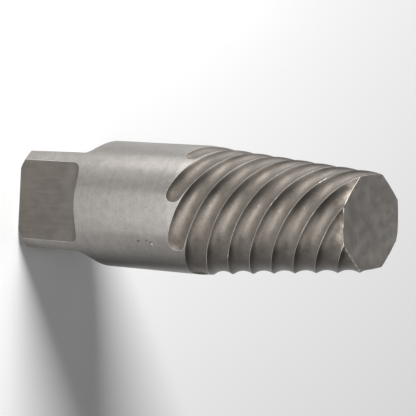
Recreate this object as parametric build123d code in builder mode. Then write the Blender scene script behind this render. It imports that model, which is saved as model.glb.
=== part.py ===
from build123d import *
from math import atan, cos, degrees, radians, tan
import os

os.makedirs("parts", exist_ok=True)

# Round bar, turned to a taper at the biting end
overall_length = 127.0
body_diameter = 40.0
taper_start = 65.5
taper_half_angle = 4.6
foot_chamfer = 1.7

# Driving square, milled into the foot of the bar
square_across_flats = 31.0
square_length = 27.5
square_run_out_radius = 4.4
square_sides = 4

# Left-hand flutes. A ball-nosed cutter enters the bar at part depth and sinks to
# full depth over the entry rise, while it travels up the spiral
flute_count = 8
flute_lead = 63.0
flute_cutter_radius = 7.0
flute_start_above_taper = 2.2
flute_entry_rise = 5.0
flute_entry_depth = 0.65
flute_depth = 1.1
flute_turn_from_flat = -14.1

# How far a cutter passes clear of the bar
cutter_overrun = 1.0

# Sizes that follow from the ones above
body_radius = body_diameter / 2
taper_slope = tan(radians(taper_half_angle))
tip_radius = body_radius - (overall_length - taper_start) * taper_slope
flat_distance = square_across_flats / 2
flute_start = taper_start + flute_start_above_taper
flute_full_depth_height = flute_start + flute_entry_rise
flute_path_end = overall_length + flute_cutter_radius + cutter_overrun


def cutter_path_radius(height, depth):
    bar_radius = body_radius - max(0.0, height - taper_start) * taper_slope
    return bar_radius - depth + flute_cutter_radius


def cutter_spiral(start_height, start_depth, end_height, end_depth):
    rise = end_height - start_height
    start_radius = cutter_path_radius(start_height, start_depth)
    end_radius = cutter_path_radius(end_height, end_depth)
    cone_angle = degrees(atan((end_radius - start_radius) / rise))
    # The lead is measured along the axis, and the helix takes its pitch along its cone's slope
    pitch = flute_lead / cos(radians(cone_angle))
    centre = (0, 0, start_height)
    spiral = Edge.make_helix(pitch, rise, start_radius, centre, angle=cone_angle, lefthand=True)
    turn_so_far = 360 * (start_height - flute_start) / flute_lead
    return spiral.rotate(Axis.Z, -turn_so_far)


# Cutter for one flat of the square, with the round run-out that it leaves at the shoulder
with BuildPart() as flat_cutter:
    with BuildSketch(Plane.XZ) as flat_profile:
        with BuildLine():
            Polyline(
                (flat_distance, -cutter_overrun),
                (body_radius + square_run_out_radius, -cutter_overrun),
                (body_radius + square_run_out_radius, square_length),
                (flat_distance, square_length),
                close=True,
            )
        make_face()
        shoulder_corner = flat_profile.vertices().group_by(Axis.Y)[-1].sort_by(Axis.X)[0]
        fillet(shoulder_corner, square_run_out_radius)
    extrude(amount=body_radius, both=True)

# Cutter for one flute: a round section swept up its spiral, and the ball that starts the groove
entry_spiral = cutter_spiral(flute_start, flute_entry_depth, flute_full_depth_height, flute_depth)
main_spiral = cutter_spiral(flute_full_depth_height, flute_depth, flute_path_end, flute_depth)
with BuildPart() as flute_cutter:
    with BuildLine():
        add(entry_spiral)
        add(main_spiral)
    with BuildSketch(Plane(entry_spiral @ 0, z_dir=entry_spiral % 0)):
        Circle(flute_cutter_radius)
    sweep(is_frenet=True)
    with Locations(entry_spiral @ 0):
        Sphere(flute_cutter_radius)

# The extractor: one bar, turned, chamfered at the foot, milled square and fluted
with BuildPart() as screw_extractor:
    with BuildSketch(Plane.XZ):
        with BuildLine():
            Polyline(
                (0, 0),
                (body_radius, 0),
                (body_radius, taper_start),
                (tip_radius, overall_length),
                (0, overall_length),
                close=True,
            )
        make_face()
    revolve(axis=Axis.Z)
    foot_edge = screw_extractor.edges().filter_by(GeomType.CIRCLE).sort_by(Axis.Z)[0]
    chamfer(foot_edge, foot_chamfer)
    with PolarLocations(0, square_sides):
        add(flat_cutter.part, mode=Mode.SUBTRACT)
    with PolarLocations(0, flute_count, start_angle=flute_turn_from_flat):
        add(flute_cutter.part, mode=Mode.SUBTRACT)

screw_extractor.part.label = "screw_extractor"
export_step(screw_extractor.part, "parts/screw_extractor.step")
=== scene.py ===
from math import cos, hypot, pi, radians, sin, tan

import bpy
import numpy as np
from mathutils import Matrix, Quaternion, Vector, noise
from mathutils.bvhtree import BVHTree


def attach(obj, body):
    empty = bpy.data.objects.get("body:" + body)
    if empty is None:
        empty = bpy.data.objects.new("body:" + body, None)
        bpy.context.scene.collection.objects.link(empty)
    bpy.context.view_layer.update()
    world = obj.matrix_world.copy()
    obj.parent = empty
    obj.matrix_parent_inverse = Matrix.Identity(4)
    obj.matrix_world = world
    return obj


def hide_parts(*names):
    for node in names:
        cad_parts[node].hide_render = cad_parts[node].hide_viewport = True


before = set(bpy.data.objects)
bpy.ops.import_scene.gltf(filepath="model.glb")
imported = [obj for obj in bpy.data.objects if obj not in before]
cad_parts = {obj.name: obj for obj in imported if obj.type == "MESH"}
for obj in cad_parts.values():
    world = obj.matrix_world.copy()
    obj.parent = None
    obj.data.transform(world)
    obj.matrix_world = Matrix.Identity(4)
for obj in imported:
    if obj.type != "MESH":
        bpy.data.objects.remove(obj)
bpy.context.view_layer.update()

# The photograph's camera, in degrees and metres. Azimuth is counted from +X, and the roll
# lays the upright tool down, so that its tip points right
view_azimuth = -2.15
view_elevation = 38.87
view_roll = 94.17
view_distance = 0.7418
view_angle = 9.906
aim_point = Vector((0.0, -0.0007, 0.0654))

# Sizes of the tool, in metres and degrees. The ridge phase is the angle from +X, counted in
# flutes, at which the first ridge's spiral would meet the foot
tool_length = 0.127
body_radius = 0.020
taper_start = 0.0655
taper_half_angle = 4.6
square_length = 0.0275
flute_lead = 0.063
flute_count = 8
ridge_phase = 0.721

# A triangle is turned where it lies this near the bar's surface and faces outward within
# this many degrees, and faced where it lies this near the tip and its normals point up
turned_tolerance = 0.00003
turned_tilt = 10.0
tip_tolerance = 0.0001
upright = 0.999

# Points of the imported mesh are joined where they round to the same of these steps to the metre
weld_steps = 1e7

# How wide edges are broken, in metres: the ridges, the flutes' starts and the foot, the tip's
# rim, the flats' rims, and the worn places on the ridges and on the tip's rim
ridge_break = 0.00006
rim_break = 0.00005
tip_break = 0.00009
milled_break = 0.00008
worn_break = 0.00013
rubbed_break = 0.0002

# An edge is sharp above this angle in degrees. Its break takes at most this share of the
# room in the triangles beside it, except this near the tip, in metres
crease_angle = 8.0
share_of_room = 0.35
tip_margin = 0.002

# Wear widens and narrows each break by up to this share, in this many waves to the metre
break_spread = 0.5
break_waves = 260.0

# The bevel's own width in metres, which the weight of each edge scales
break_unit = 0.001

# Each corner looks for its own triangle of the solid from this share of the way into its face
probe_inset = 0.05

# How far the ridges and the middles of the flutes lie below the bar's own surface, in metres
ridge_depth = 0.00017
flute_depth = 0.0011

# Where wear and painted glints show, as (turn, height): turns count flutes from the first ridge, and
# a whole number is a ridge. The ridges' places are worn edges that are also painted as bright
# glints, the flutes' places are painted glints only, and the rim's places are rubbed and painted
# pale as a highlight. Heights are in metres, and places on the tip's rim have only a turn.
# Wear reaches this far round a place on a ridge and round one on the rim
worn_ridges_and_glints = ((4.0, 0.1036), (4.0, 0.1024), (5.0, 0.1159), (5.0, 0.1168), (3.0, 0.0848))
painted_flute_glints = ((1.32, 0.0803), (3.44, 0.0976), (4.47, 0.1051), (5.39, 0.1133))
rubbed_rim_and_highlight = (0.0, 0.2, 0.4, 0.6, 0.8, 1.0, 6.85, 7.1, 7.5)
worn_reach = 0.001
rubbed_reach = 0.0012

# Corners of the tip that are chipped: turn, and how far each has gone inward and down
chips = ((3.0, 0.0005, 0.0003), (7.0, 0.0003, 0.0003))
chip_reach = 0.0004

# How far the tip's rim has worn in, and in how many waves to the metre
rim_wear = 0.00012
rim_waves = 500.0

# How far the mill's chatter moves the rim of the flats' run-out. The run-out is this long,
# and the chatter sets in this far below the shoulder, over this length
chatter = 0.0002
chatter_waves = 700.0
run_out_length = 0.008
chatter_start = 0.0032
chatter_rise = 0.0015

# Colours of the steel: ground, milled, fluted, faced, bright at the edges and in small marks, partly
# as wear and partly as painted highlights and glints, palest at the tip's worn rim, which is also a
# painted highlight, and lighter in patches beside that rim
body_color = (0.263, 0.249, 0.233)
milled_color = (0.151, 0.137, 0.1225)
flute_color = (0.139, 0.123, 0.107)
faced_color = (0.154, 0.143, 0.131)
wear_and_glint_color = (0.45, 0.43, 0.4)
rubbed_highlight_color = (0.7, 0.65, 0.58)
patch_color = (0.34, 0.29, 0.235)

# Small marks on the body: place and radius in metres, and brightness. The first three make a nick
# over a dent in the bump: its bright marks are a painted highlight and its dark one painted shade
body_marks = (
    ((0.01684, 0.01079, 0.05750), 0.0007, 1.7),
    ((0.01719, 0.01022, 0.05600), 0.0004, 1.0),
    ((0.01711, 0.01035, 0.05240), 0.0004, 0.25),
    ((0.00778, -0.01842, 0.01780), 0.0006, 0.3),
)

# How far the lighter patches reach down from the tip's rim
patch_length = 0.0038

# Sizes of the painted glints on the flutes and of the bright worn marks on the ridges
flute_glint_radius = 0.00035
ridge_mark_radius = 0.0008

# Lamps: name, place, height on the tool's axis that it faces, width, height, power in watts
lamps = (
    ("key", (0.22, -0.66, 0.56), 0.065, 0.36, 0.36, 10.4),
    ("top side", (-0.06, -0.155, 0.03), 0.06, 0.07, 0.06, 0.030),
    ("low side", (0.05, -0.158, 0.03), 0.06, 0.07, 0.06, 0.058),
    ("low front", (0.165, 0, 0.03), 0.08, 0.13, 0.05, 0.1),
    ("low fill", (0.14, 0.088, 0.03), 0.07, 0.06, 0.05, 0.030),
    ("fill", (0.56, 0.56, 0.1), 0.065, 1.0, 0.2, 1.8),
    ("back", (-0.78, 0, 0.54), 0.1, 0.3, 0.3, 1.2),
)
world_strength = 0.03

# The floor, a pale square
floor_size = 6.0
floor_color = (0.97, 0.97, 0.97)
floor_roughness = 0.8

# Kinds of surface, which are also the numbers of the mesh's materials
TURNED, MILLED, FLUTED, FACED, EDGE = range(5)


def add_camera():
    azimuth = radians(view_azimuth)
    elevation = radians(view_elevation)
    toward_camera = Vector((
        cos(elevation) * cos(azimuth),
        cos(elevation) * sin(azimuth),
        sin(elevation),
    ))
    data = bpy.data.cameras.new("camera")
    data.angle = radians(view_angle)
    camera = bpy.data.objects.new("camera", data)
    camera.location = aim_point + toward_camera * view_distance
    camera.rotation_mode = "QUATERNION"
    roll = Quaternion((0, 0, 1), radians(view_roll))
    camera.rotation_quaternion = toward_camera.to_track_quat("Z", "Y") @ roll
    bpy.context.scene.collection.objects.link(camera)
    bpy.context.scene.camera = camera


def read_array(collection, attribute, width, kind=np.float32):
    values = np.empty(len(collection) * width, kind)
    collection.foreach_get(attribute, values)
    return values.reshape(-1, width) if width > 1 else values


def bar_radius(height):
    """The radius of the bar before it was fluted, for one height or an array of heights."""
    return body_radius - np.maximum(0.0, height - taper_start) * tan(radians(taper_half_angle))


def flute_place(turn, height=tool_length):
    """A place on the flutes, each of which sags between its two ridges as a parabola does."""
    angle = 2 * pi * ((ridge_phase + turn) / flute_count - height / flute_lead)
    from_middle = 2 * (turn % 1.0) - 1.0
    depth = flute_depth - (flute_depth - ridge_depth) * from_middle ** 2
    radius = bar_radius(height) - depth
    return Vector((radius * cos(angle), radius * sin(angle), height))


def surface_kinds(corners, normals):
    """Names the surface that each triangle belongs to, from its corners' places and normals."""
    radius = np.hypot(corners[..., 0], corners[..., 1])
    height = corners[..., 2]
    across = np.cross(corners[:, 1] - corners[:, 0], corners[:, 2] - corners[:, 0])
    across /= np.linalg.norm(across, axis=1)[:, None]
    middle = corners.mean(1)
    outward = middle[:, :2] / np.hypot(middle[:, 0], middle[:, 1])[:, None]
    facing = (across[:, :2] * outward).sum(-1)
    kinds = np.full(len(corners), FLUTED)
    kinds[middle[:, 2] < square_length] = MILLED
    on_bar = (np.abs(radius - bar_radius(height)) < turned_tolerance).all(1)
    kinds[on_bar & (facing > cos(radians(turned_tilt)))] = TURNED
    at_tip = middle[:, 2] > tool_length - tip_tolerance
    kinds[at_tip & (normals[..., 2] > upright).all(1)] = FACED
    return kinds


def roughen(points, faces, kinds):
    """Wears the tip's rim and corners, and makes the rim of each flat's run-out wander."""
    touched = np.zeros((len(points), EDGE), bool)
    for kind in (TURNED, MILLED, FLUTED, FACED):
        touched[faces[kinds == kind].reshape(-1), kind] = True
    moved = points.copy()
    for index in np.flatnonzero(touched[:, FACED] & touched[:, FLUTED]):
        x, y, _ = points[index]
        worn = rim_wear * abs(noise.noise(Vector((x, y, 0)) * rim_waves))
        moved[index, :2] *= 1.0 - worn / hypot(x, y)
    for turn, inward, down in chips:
        corner = flute_place(turn)
        move = Vector((-corner.x, -corner.y, 0)).normalized() * inward - Vector((0, 0, down))
        moved[np.linalg.norm(points - corner, axis=1) < chip_reach] += move
    on_run_out = points[:, 2] > square_length - run_out_length
    for index in np.flatnonzero(touched[:, MILLED] & touched[:, TURNED] & on_run_out):
        x, y, z = points[index]
        share = min(max((z - square_length + chatter_start) / chatter_rise, 0.0), 1.0)
        moved[index, 2] += chatter * share * noise.noise(Vector((x, y, 0)) * chatter_waves)
    return moved


def weld(points, corner_points):
    """Joins the points that lie in one place, and gives the places and the triangles on them."""
    rounded = np.round(points * weld_steps).astype(np.int64)
    _, first, welded = np.unique(rounded, axis=0, return_index=True, return_inverse=True)
    return points[first], welded.reshape(-1)[corner_points].reshape(-1, 3)


def edge_breaks(places, faces, corner_normals, kinds):
    """How wide each sharp edge is broken, in metres, by its lower and higher point."""
    # Each side of each edge: its points, and the normals at its lower and higher point
    starts = faces.reshape(-1)
    ends = np.roll(faces, -1, axis=1).reshape(-1)
    start_normals = corner_normals.reshape(-1, 3)
    end_normals = np.roll(corner_normals, -1, axis=1).reshape(-1, 3)
    swapped = starts > ends
    low_normals = np.where(swapped[:, None], end_normals, start_normals)
    high_normals = np.where(swapped[:, None], start_normals, end_normals)

    # The solid is closed, so the sides come in pairs once they are in order
    lower = np.minimum(starts, ends)
    higher = np.maximum(starts, ends)
    order = np.lexsort((higher, lower))
    left, right = order[0::2], order[1::2]
    bend = np.minimum(
        (low_normals[left] * low_normals[right]).sum(1),
        (high_normals[left] * high_normals[right]).sum(1),
    )
    creased = bend < cos(radians(crease_angle))
    left_kind = kinds[left // 3]
    right_kind = kinds[right // 3]
    middles = (places[starts[left]] + places[ends[left]]) / 2
    wear = np.array([noise.noise(Vector(middle) * break_waves) for middle in middles])
    breaks = np.full(len(left), rim_break)
    breaks[(left_kind == FLUTED) & (right_kind == FLUTED)] = ridge_break
    breaks[(left_kind == FACED) | (right_kind == FACED)] = tip_break
    breaks *= 1.0 + break_spread * wear.clip(-1, 1)
    breaks[(left_kind == MILLED) | (right_kind == MILLED)] = milled_break
    for turn, height in worn_ridges_and_glints:
        distance = np.linalg.norm(middles - flute_place(turn, height), axis=1)
        breaks[distance < worn_reach] = worn_break
    for turn in rubbed_rim_and_highlight:
        distance = np.linalg.norm(middles - flute_place(turn), axis=1)
        breaks[distance < rubbed_reach] = rubbed_break

    # A break wider than the thin triangles beside it would fold them over
    opposite = places[np.roll(faces, -2, axis=1).reshape(-1)]
    along = places[ends] - places[starts]
    beside = np.cross(along, opposite - places[starts])
    room = np.linalg.norm(beside, axis=1) / np.linalg.norm(along, axis=1)
    widest = share_of_room * np.minimum(room[left], room[right])
    below_tip = middles[:, 2] < tool_length - tip_margin
    breaks[below_tip] = np.minimum(breaks, widest)[below_tip]
    edges = zip(lower[left][creased].tolist(), higher[left][creased].tolist())
    return dict(zip(edges, breaks[creased].tolist()))


def bevelled(mesh):
    """A copy of a mesh with its weighted edges rounded, and the new faces made of edge steel."""
    rough_piece = bpy.data.objects.new("rim_rub_and_highlight", mesh)
    bpy.context.scene.collection.objects.link(rough_piece)
    bevel = rough_piece.modifiers.new("broken edges", "BEVEL")
    bevel.limit_method = "WEIGHT"
    bevel.width = break_unit
    bevel.segments = 2
    bevel.material = EDGE
    bevel.use_clamp_overlap = False
    bevel.loop_slide = False
    bpy.context.view_layer.update()
    evaluated = rough_piece.evaluated_get(bpy.context.evaluated_depsgraph_get())
    result = bpy.data.meshes.new_from_object(evaluated)
    bpy.data.objects.remove(rough_piece)
    return result


def worn_copy(source, materials):
    """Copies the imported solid's mesh, wears it and breaks its sharp edges, as use has done."""
    points = read_array(source.vertices, "co", 3)
    corner_points = read_array(source.loops, "vertex_index", 1, np.int32)
    corner_normals = read_array(source.corner_normals, "vector", 3).reshape(-1, 3, 3)
    kinds = surface_kinds(points[corner_points].reshape(-1, 3, 3), corner_normals)
    places, faces = weld(points, corner_points)
    mesh = bpy.data.meshes.new("screw_extractor_looks")
    mesh.from_pydata(roughen(places, faces, kinds).tolist(), [], faces.tolist())
    mesh.polygons.foreach_set("material_index", kinds.astype(np.int32))
    for material in materials:
        mesh.materials.append(material)

    breaks = edge_breaks(places, faces, corner_normals, kinds)
    weights = np.zeros(len(mesh.edges), np.float32)
    for edge in mesh.edges:
        weights[edge.index] = breaks.get(tuple(sorted(edge.vertices)), 0.0) / break_unit
    mesh.attributes.new("bevel_weight_edge", "FLOAT", "EDGE").data.foreach_set("value", weights)
    result = bevelled(mesh)
    carry_normals(result, points, corner_points.reshape(-1, 3), corner_normals, kinds)
    return result


def corner_shares(corners, place):
    """How near a place in a triangle is to each of its corners, as shares that add up to 1."""
    second_side = corners[1] - corners[0]
    third_side = corners[2] - corners[0]
    offset = place - corners[0]
    second_square = second_side @ second_side
    third_square = third_side @ third_side
    product = second_side @ third_side
    size = second_square * third_square - product * product
    along_second = offset @ second_side
    along_third = offset @ third_side
    second = (third_square * along_second - product * along_third) / size
    second = min(max(second, 0.0), 1.0)
    third = (second_square * along_third - product * along_second) / size
    third = min(max(third, 0.0), 1.0 - second)
    return np.array((1.0 - second - third, second, third))


def carry_normals(mesh, points, triangles, corner_normals, kinds):
    """Gives a mesh the solid's own smooth normals, and rounds them over the broken edges."""
    members = {}
    trees = {}
    for kind in (TURNED, MILLED, FLUTED, FACED):
        members[kind] = np.flatnonzero(kinds == kind)
        trees[kind] = BVHTree.FromPolygons(points.tolist(), triangles[members[kind]].tolist())
    normals = np.empty((len(mesh.loops), 3), np.float32)
    mesh_points = read_array(mesh.vertices, "co", 3)
    smooth = read_array(mesh.vertices, "normal", 3)
    carried = {}
    for polygon in mesh.polygons:
        kind = polygon.material_index
        if kind == EDGE:
            continue
        centre = np.array(polygon.center)
        for corner in polygon.loop_indices:
            vertex = mesh.loops[corner].vertex_index
            place = mesh_points[vertex]
            probe = place * (1.0 - probe_inset) + centre * probe_inset
            _, _, found, _ = trees[kind].find_nearest(Vector(probe))
            face = members[kind][found]
            normal = corner_shares(points[triangles[face]], place) @ corner_normals[face]
            normals[corner] = normal / np.linalg.norm(normal)
            carried.setdefault(vertex, []).append(normals[corner])
    for polygon in mesh.polygons:
        if polygon.material_index != EDGE:
            continue
        for corner in polygon.loop_indices:
            vertex = mesh.loops[corner].vertex_index
            found = carried.get(vertex)
            normal = np.mean(found, axis=0) if found else smooth[vertex]
            normals[corner] = normal / np.linalg.norm(normal)
    mesh.polygons.foreach_set("use_smooth", [True] * len(mesh.polygons))
    mesh.normals_split_custom_set(normals.tolist())


class Graph:
    """One procedural material, built node by node round its shader."""

    def __init__(self, name, anisotropy=0.0):
        self.material = bpy.data.materials.new(name)
        self.material.use_nodes = True
        self.tree = self.material.node_tree
        self.shader = self.tree.nodes["Principled BSDF"]
        self.shader.inputs["Metallic"].default_value = 1.0
        self.place = self.add("ShaderNodeTexCoord").outputs["Object"]
        if anisotropy:
            # The tool marks run round the bar, so a highlight spreads along it
            tangent = self.add("ShaderNodeTangent", direction_type="RADIAL", axis="Z")
            self.shader.inputs["Anisotropic"].default_value = anisotropy
            self.shader.inputs["Anisotropic Rotation"].default_value = 0.25
            self.link(tangent.outputs["Tangent"], self.shader.inputs["Tangent"])

    def add(self, kind, **settings):
        node = self.tree.nodes.new(kind)
        for name, value in settings.items():
            setattr(node, name, value)
        return node

    def link(self, source, socket):
        """Joins a node's output to a socket, or sets the socket to a plain value."""
        if isinstance(source, bpy.types.NodeSocket):
            self.tree.links.new(source, socket)
        else:
            socket.default_value = source

    def math(self, operation, *values):
        node = self.add("ShaderNodeMath", operation=operation)
        for socket, value in zip(node.inputs, values):
            self.link(value, socket)
        return node.outputs[0]

    def vector(self, operation, *values):
        node = self.add("ShaderNodeVectorMath", operation=operation)
        for socket, value in zip(node.inputs, values):
            self.link(value, socket)
        return node.outputs["Value" if operation in ("LENGTH", "DISTANCE") else "Vector"]

    def span(self, value, low, high, to_low, to_high):
        """Maps a value from one range to another, and stops at its ends."""
        node = self.add("ShaderNodeMapRange", interpolation_type="SMOOTHSTEP")
        for socket, setting in zip(node.inputs, (value, low, high, to_low, to_high)):
            self.link(setting, socket)
        return node.outputs["Result"]

    def noise(self, place, scale, detail=2.0, roughness=0.5):
        """Noise in waves to the metre: one number, or one for each axis."""
        scales = scale if isinstance(scale, tuple) else (scale, scale, scale)
        stretched = self.vector("MULTIPLY", place, scales)
        node = self.add("ShaderNodeTexNoise")
        self.link(stretched, node.inputs["Vector"])
        node.inputs["Scale"].default_value = 1.0
        node.inputs["Detail"].default_value = detail
        node.inputs["Roughness"].default_value = roughness
        return node.outputs["Fac"]

    def mix_of(self, *shares):
        """Adds values, each times its share."""
        total = 0.0
        for value, share in shares:
            total = self.math("MULTIPLY_ADD", value, share, total)
        return total

    def pits(self, scale, size, where):
        """1 in small round pits, so many to the metre, where a second value allows them."""
        node = self.add("ShaderNodeTexVoronoi")
        self.link(self.place, node.inputs["Vector"])
        node.inputs["Scale"].default_value = scale
        pit = self.span(node.outputs["Distance"], size * 0.5, size, 1.0, 0.0)
        return self.math("MULTIPLY", pit, where)

    def blend(self, share, first, second):
        node = self.add("ShaderNodeMix", data_type="RGBA")
        self.link(share, node.inputs[0])
        self.link(first, node.inputs[6])
        self.link(second, node.inputs[7])
        return node.outputs[2]

    def tinted(self, shade, color, dark, light, low=0.34, high=0.66):
        """A colour from its dark tone to its light one, as a shade goes from low to high."""
        share = self.span(shade, low, high, 0.0, 1.0)
        return self.blend(share, tone(color, dark), tone(color, light))

    def bump(self, height, depth):
        """Raises the surface by a height from 0 to 1, times a depth in metres."""
        node = self.add("ShaderNodeBump")
        node.inputs["Distance"].default_value = depth
        node.inputs["Strength"].default_value = 1.0
        self.link(height, node.inputs["Height"])
        if self.shader.inputs["Normal"].links:
            self.link(self.shader.inputs["Normal"].links[0].from_socket, node.inputs["Normal"])
        self.link(node.outputs["Normal"], self.shader.inputs["Normal"])

    def finish(self, color, roughness):
        self.link(color, self.shader.inputs["Base Color"])
        self.link(roughness, self.shader.inputs["Roughness"])
        return self.material


def tone(color, factor=1.0):
    """A colour made darker or lighter, with the fourth number that a socket takes."""
    return (*(channel * factor for channel in color), 1.0)


def mark(graph, spot, radius):
    """1 at a small mark on the surface, fading to 0 at its uneven rim."""
    distance = graph.vector("DISTANCE", graph.place, spot)
    ragged = graph.noise(graph.place, 2500, 2.0)
    distance = graph.math("ADD", distance, graph.math("MULTIPLY", ragged, radius))
    return graph.span(distance, radius * 0.7, radius * 1.5, 1.0, 0.0)


def turned_steel():
    """The ground round body: faint rings round the bar, a fine mottle and a few small pits."""
    graph = Graph("turned_steel", anisotropy=0.85)
    rings = graph.noise(graph.place, (25, 25, 2600), 3.0, 0.6)
    mottle = graph.noise(graph.place, 420, 5.0, 0.65)
    grain = graph.noise(graph.place, 2100, 2.0)
    cloud = graph.noise(graph.place, 60, 2.0)
    shade = graph.mix_of((rings, 0.25), (mottle, 0.45), (grain, 0.3))
    color = graph.tinted(shade, body_color, 0.86, 1.12)
    roughness = graph.span(graph.math("ADD", shade, cloud), 0.7, 1.3, 0.31, 0.39)
    pits = graph.pits(620, 0.2, graph.span(cloud, 0.42, 0.6, 0.0, 1.0))
    color = graph.blend(graph.math("MULTIPLY", pits, 0.5), color, tone(body_color, 0.45))
    graph.bump(graph.math("SUBTRACT", 1.0, pits), 0.00003)
    for spot, radius, brightness in body_marks:
        # The nick's bright marks are a painted highlight and its dark mark painted shade, over a
        # dent in the bump
        nick = mark(graph, spot, radius)
        color = graph.blend(nick, color, tone(wear_and_glint_color, brightness))
        graph.bump(graph.math("SUBTRACT", 1.0, nick), radius)
    graph.bump(shade, 0.000005)
    return graph.finish(color, roughness)


def milled_steel():
    """The square's flats: matte and mottled, with the faint path of the end mill."""
    graph = Graph("milled_steel")
    path = graph.noise(graph.place, (900, 900, 90), 3.0, 0.6)
    mottle = graph.noise(graph.place, 260, 4.0, 0.6)
    cloud = graph.noise(graph.place, 90, 2.0)
    shade = graph.mix_of((path, 0.25), (mottle, 0.45), (cloud, 0.3))
    color = graph.tinted(shade, milled_color, 0.84, 1.16)
    graph.bump(shade, 0.000006)
    return graph.finish(color, graph.span(mottle, 0.3, 0.7, 0.46, 0.56))


def fluted_steel():
    """The flutes: warm grey streaks along the spiral, painted shade on one flank, and ridges bright
    as partly wear, partly painted highlight.
    """
    graph = Graph("fluted_steel")
    parts = graph.add("ShaderNodeSeparateXYZ")
    graph.link(graph.place, parts.inputs[0])
    height = parts.outputs["Z"]
    unwind = graph.add("ShaderNodeVectorRotate", rotation_type="Z_AXIS")
    graph.link(graph.place, unwind.inputs["Vector"])
    graph.link(graph.math("MULTIPLY", height, 2 * pi / flute_lead), unwind.inputs["Angle"])
    streaks = graph.noise(unwind.outputs["Vector"], (1500, 1500, 60), 3.0, 0.6)
    mottle = graph.noise(graph.place, 340, 5.0, 0.65)
    grain = graph.noise(graph.place, 1700, 2.0)
    cloud = graph.noise(graph.place, 110, 2.0)
    shade = graph.mix_of((streaks, 0.25), (mottle, 0.45), (grain, 0.3))
    color = graph.tinted(shade, flute_color, 0.8, 1.2)

    # 0 and 1 at a ridge, and a half along the middle of each groove
    straight = graph.add("ShaderNodeSeparateXYZ")
    graph.link(unwind.outputs["Vector"], straight.inputs[0])
    turn = graph.math("ARCTAN2", straight.outputs["Y"], straight.outputs["X"])
    turns = graph.math("SUBTRACT", graph.math("MULTIPLY", turn, flute_count / (2 * pi)), ridge_phase)
    across = graph.math("FRACT", turns)
    # Painted shade: the flank just past each ridge is darkened as if a burr's shadow fell on it
    flank = graph.span(across, 0.03, 0.28, 1.0, 0.0)
    painted_flank_shade = graph.math("MULTIPLY", flank, graph.span(mottle, 0.35, 0.6, 0.0, 1.0))
    color = graph.blend(graph.math("MULTIPLY", painted_flank_shade, 0.45), color, tone(flute_color, 0.5))

    # Brightened beside the ridges, partly as rubbed wear and partly as a painted highlight along
    # each ridge, and lighter in patches beside the tip's rim
    beside = graph.math("MINIMUM", across, graph.math("SUBTRACT", 1.0, across))
    at_ridge = graph.span(beside, 0.0, 0.05, 1.0, 0.0)
    rub_and_painted_highlight = graph.math("MULTIPLY", at_ridge, graph.span(cloud, 0.35, 0.65, 0.1, 0.6))
    near_tip = graph.span(height, tool_length - patch_length, tool_length, 0.0, 1.0)
    patches = graph.math("MULTIPLY", near_tip, graph.span(mottle, 0.42, 0.66, 0.08, 0.65))
    color = graph.blend(rub_and_painted_highlight, color, tone(wear_and_glint_color, 0.7))
    color = graph.blend(patches, color, tone(patch_color))
    # Painted glints: small bright specks in the flutes' highlights
    for turn, spot_height in painted_flute_glints:
        glint = mark(graph, flute_place(turn, spot_height), flute_glint_radius)
        color = graph.blend(graph.math("MULTIPLY", glint, 0.6), color, tone(wear_and_glint_color, 0.8))
    graph.bump(shade, 0.000012)
    roughness = graph.span(graph.math("ADD", mottle, cloud), 0.7, 1.3, 0.34, 0.42)
    return graph.finish(color, roughness)


def faced_steel():
    """The tip's face: the faint rings that facing leaves, over darker and lighter clouds."""
    graph = Graph("faced_steel")
    flat = graph.vector("MULTIPLY", graph.place, (1, 1, 0))
    distance = graph.vector("LENGTH", flat)
    across = graph.add("ShaderNodeCombineXYZ")
    graph.link(distance, across.inputs["X"])
    rings = graph.noise(across.outputs[0], (2200, 1, 1), 3.0, 0.6)
    mottle = graph.noise(graph.place, 260, 4.0, 0.6)
    cloud = graph.noise(graph.place, 90, 2.0)
    shade = graph.mix_of((rings, 0.15), (mottle, 0.35), (cloud, 0.5))
    color = graph.tinted(shade, faced_color, 0.91, 1.09, low=0.36, high=0.64)
    graph.bump(shade, 0.000006)
    return graph.finish(color, graph.span(mottle, 0.3, 0.7, 0.44, 0.54))


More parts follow.
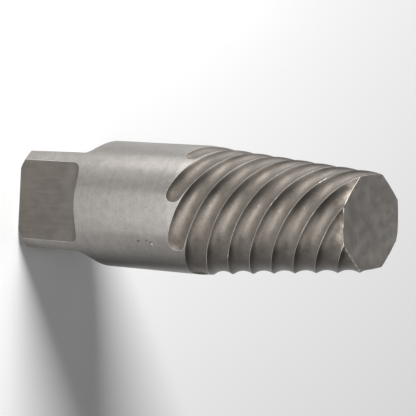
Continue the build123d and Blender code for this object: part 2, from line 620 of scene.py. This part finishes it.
def edge_steel():
    """Edges rubbed bright by handling and use, here more and there less, and partly a painted
    highlight, with painted glints at the worn places on the ridges and a painted pale highlight at
    the tip's rim.
    """
    graph = Graph("edge_steel")
    wear = graph.noise(graph.place, 700, 3.0, 0.6)
    cloud = graph.noise(graph.place, 90, 1.0)
    share = graph.span(graph.math("ADD", wear, cloud), 0.75, 1.25, 0.0, 1.0)
    color = graph.blend(share, tone(wear_and_glint_color, 0.65), tone(wear_and_glint_color, 1.25))
    for turn, height in worn_ridges_and_glints:
        # Painted glints at the worn places on the ridges, over their wider real breaks
        worn = mark(graph, flute_place(turn, height), ridge_mark_radius)
        color = graph.blend(worn, color, tone(wear_and_glint_color, 1.7))
    # Painted highlight over real wear: the rubbed places on the tip's rim are painted pale and less
    # metallic, so that they show bright
    rim_rub_and_highlight = 0.0
    for turn in rubbed_rim_and_highlight:
        rim_rub_and_highlight = graph.math("MAXIMUM", rim_rub_and_highlight, mark(graph, flute_place(turn), rubbed_reach))
    color = graph.blend(rim_rub_and_highlight, color, tone(rubbed_highlight_color))
    graph.bump(wear, 0.00003)
    graph.link(graph.span(rim_rub_and_highlight, 0.0, 1.0, 1.0, 0.3), graph.shader.inputs["Metallic"])
    worn_roughness = graph.span(wear, 0.3, 0.7, 0.4, 0.6)
    roughness = graph.math("MAXIMUM", worn_roughness, graph.math("MULTIPLY", rim_rub_and_highlight, 0.7))
    return graph.finish(color, roughness)


def add_floor():
    bpy.ops.mesh.primitive_plane_add(size=floor_size)
    floor = bpy.context.object
    floor.name = "floor"
    material = bpy.data.materials.new("floor")
    material.use_nodes = True
    shader = material.node_tree.nodes["Principled BSDF"]
    shader.inputs["Base Color"].default_value = tone(floor_color)
    shader.inputs["Roughness"].default_value = floor_roughness
    floor.data.materials.append(material)


def add_lamp(name, place, aim_height, width, height, power):
    """A soft lamp that faces the tool's axis at a height. Sizes and places are in metres."""
    place = Vector(place)
    data = bpy.data.lights.new(name, "AREA")
    data.shape = "RECTANGLE"
    data.size = width
    data.size_y = height
    data.energy = power
    lamp = bpy.data.objects.new(name, data)
    lamp.location = place
    lamp.rotation_mode = "QUATERNION"
    backward = place - Vector((0, 0, aim_height))
    lamp.rotation_quaternion = backward.to_track_quat("Z", "Y")
    lamp.visible_camera = False
    bpy.context.scene.collection.objects.link(lamp)


def set_world(strength):
    world = bpy.data.worlds.new("studio")
    world.use_nodes = True
    background = world.node_tree.nodes["Background"]
    background.inputs["Color"].default_value = (1, 1, 1, 1)
    background.inputs["Strength"].default_value = strength
    bpy.context.scene.world = world


add_camera()
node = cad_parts["screw_extractor"]
materials = [turned_steel(), milled_steel(), fluted_steel(), faced_steel(), edge_steel()]
looks = bpy.data.objects.new("extractor", worn_copy(node.data, materials))
bpy.context.scene.collection.objects.link(looks)
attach(looks, "root")
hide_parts("screw_extractor")
add_floor()
for lamp in lamps:
    add_lamp(*lamp)
set_world(world_strength)
bpy.context.scene.view_settings.view_transform = "Standard"
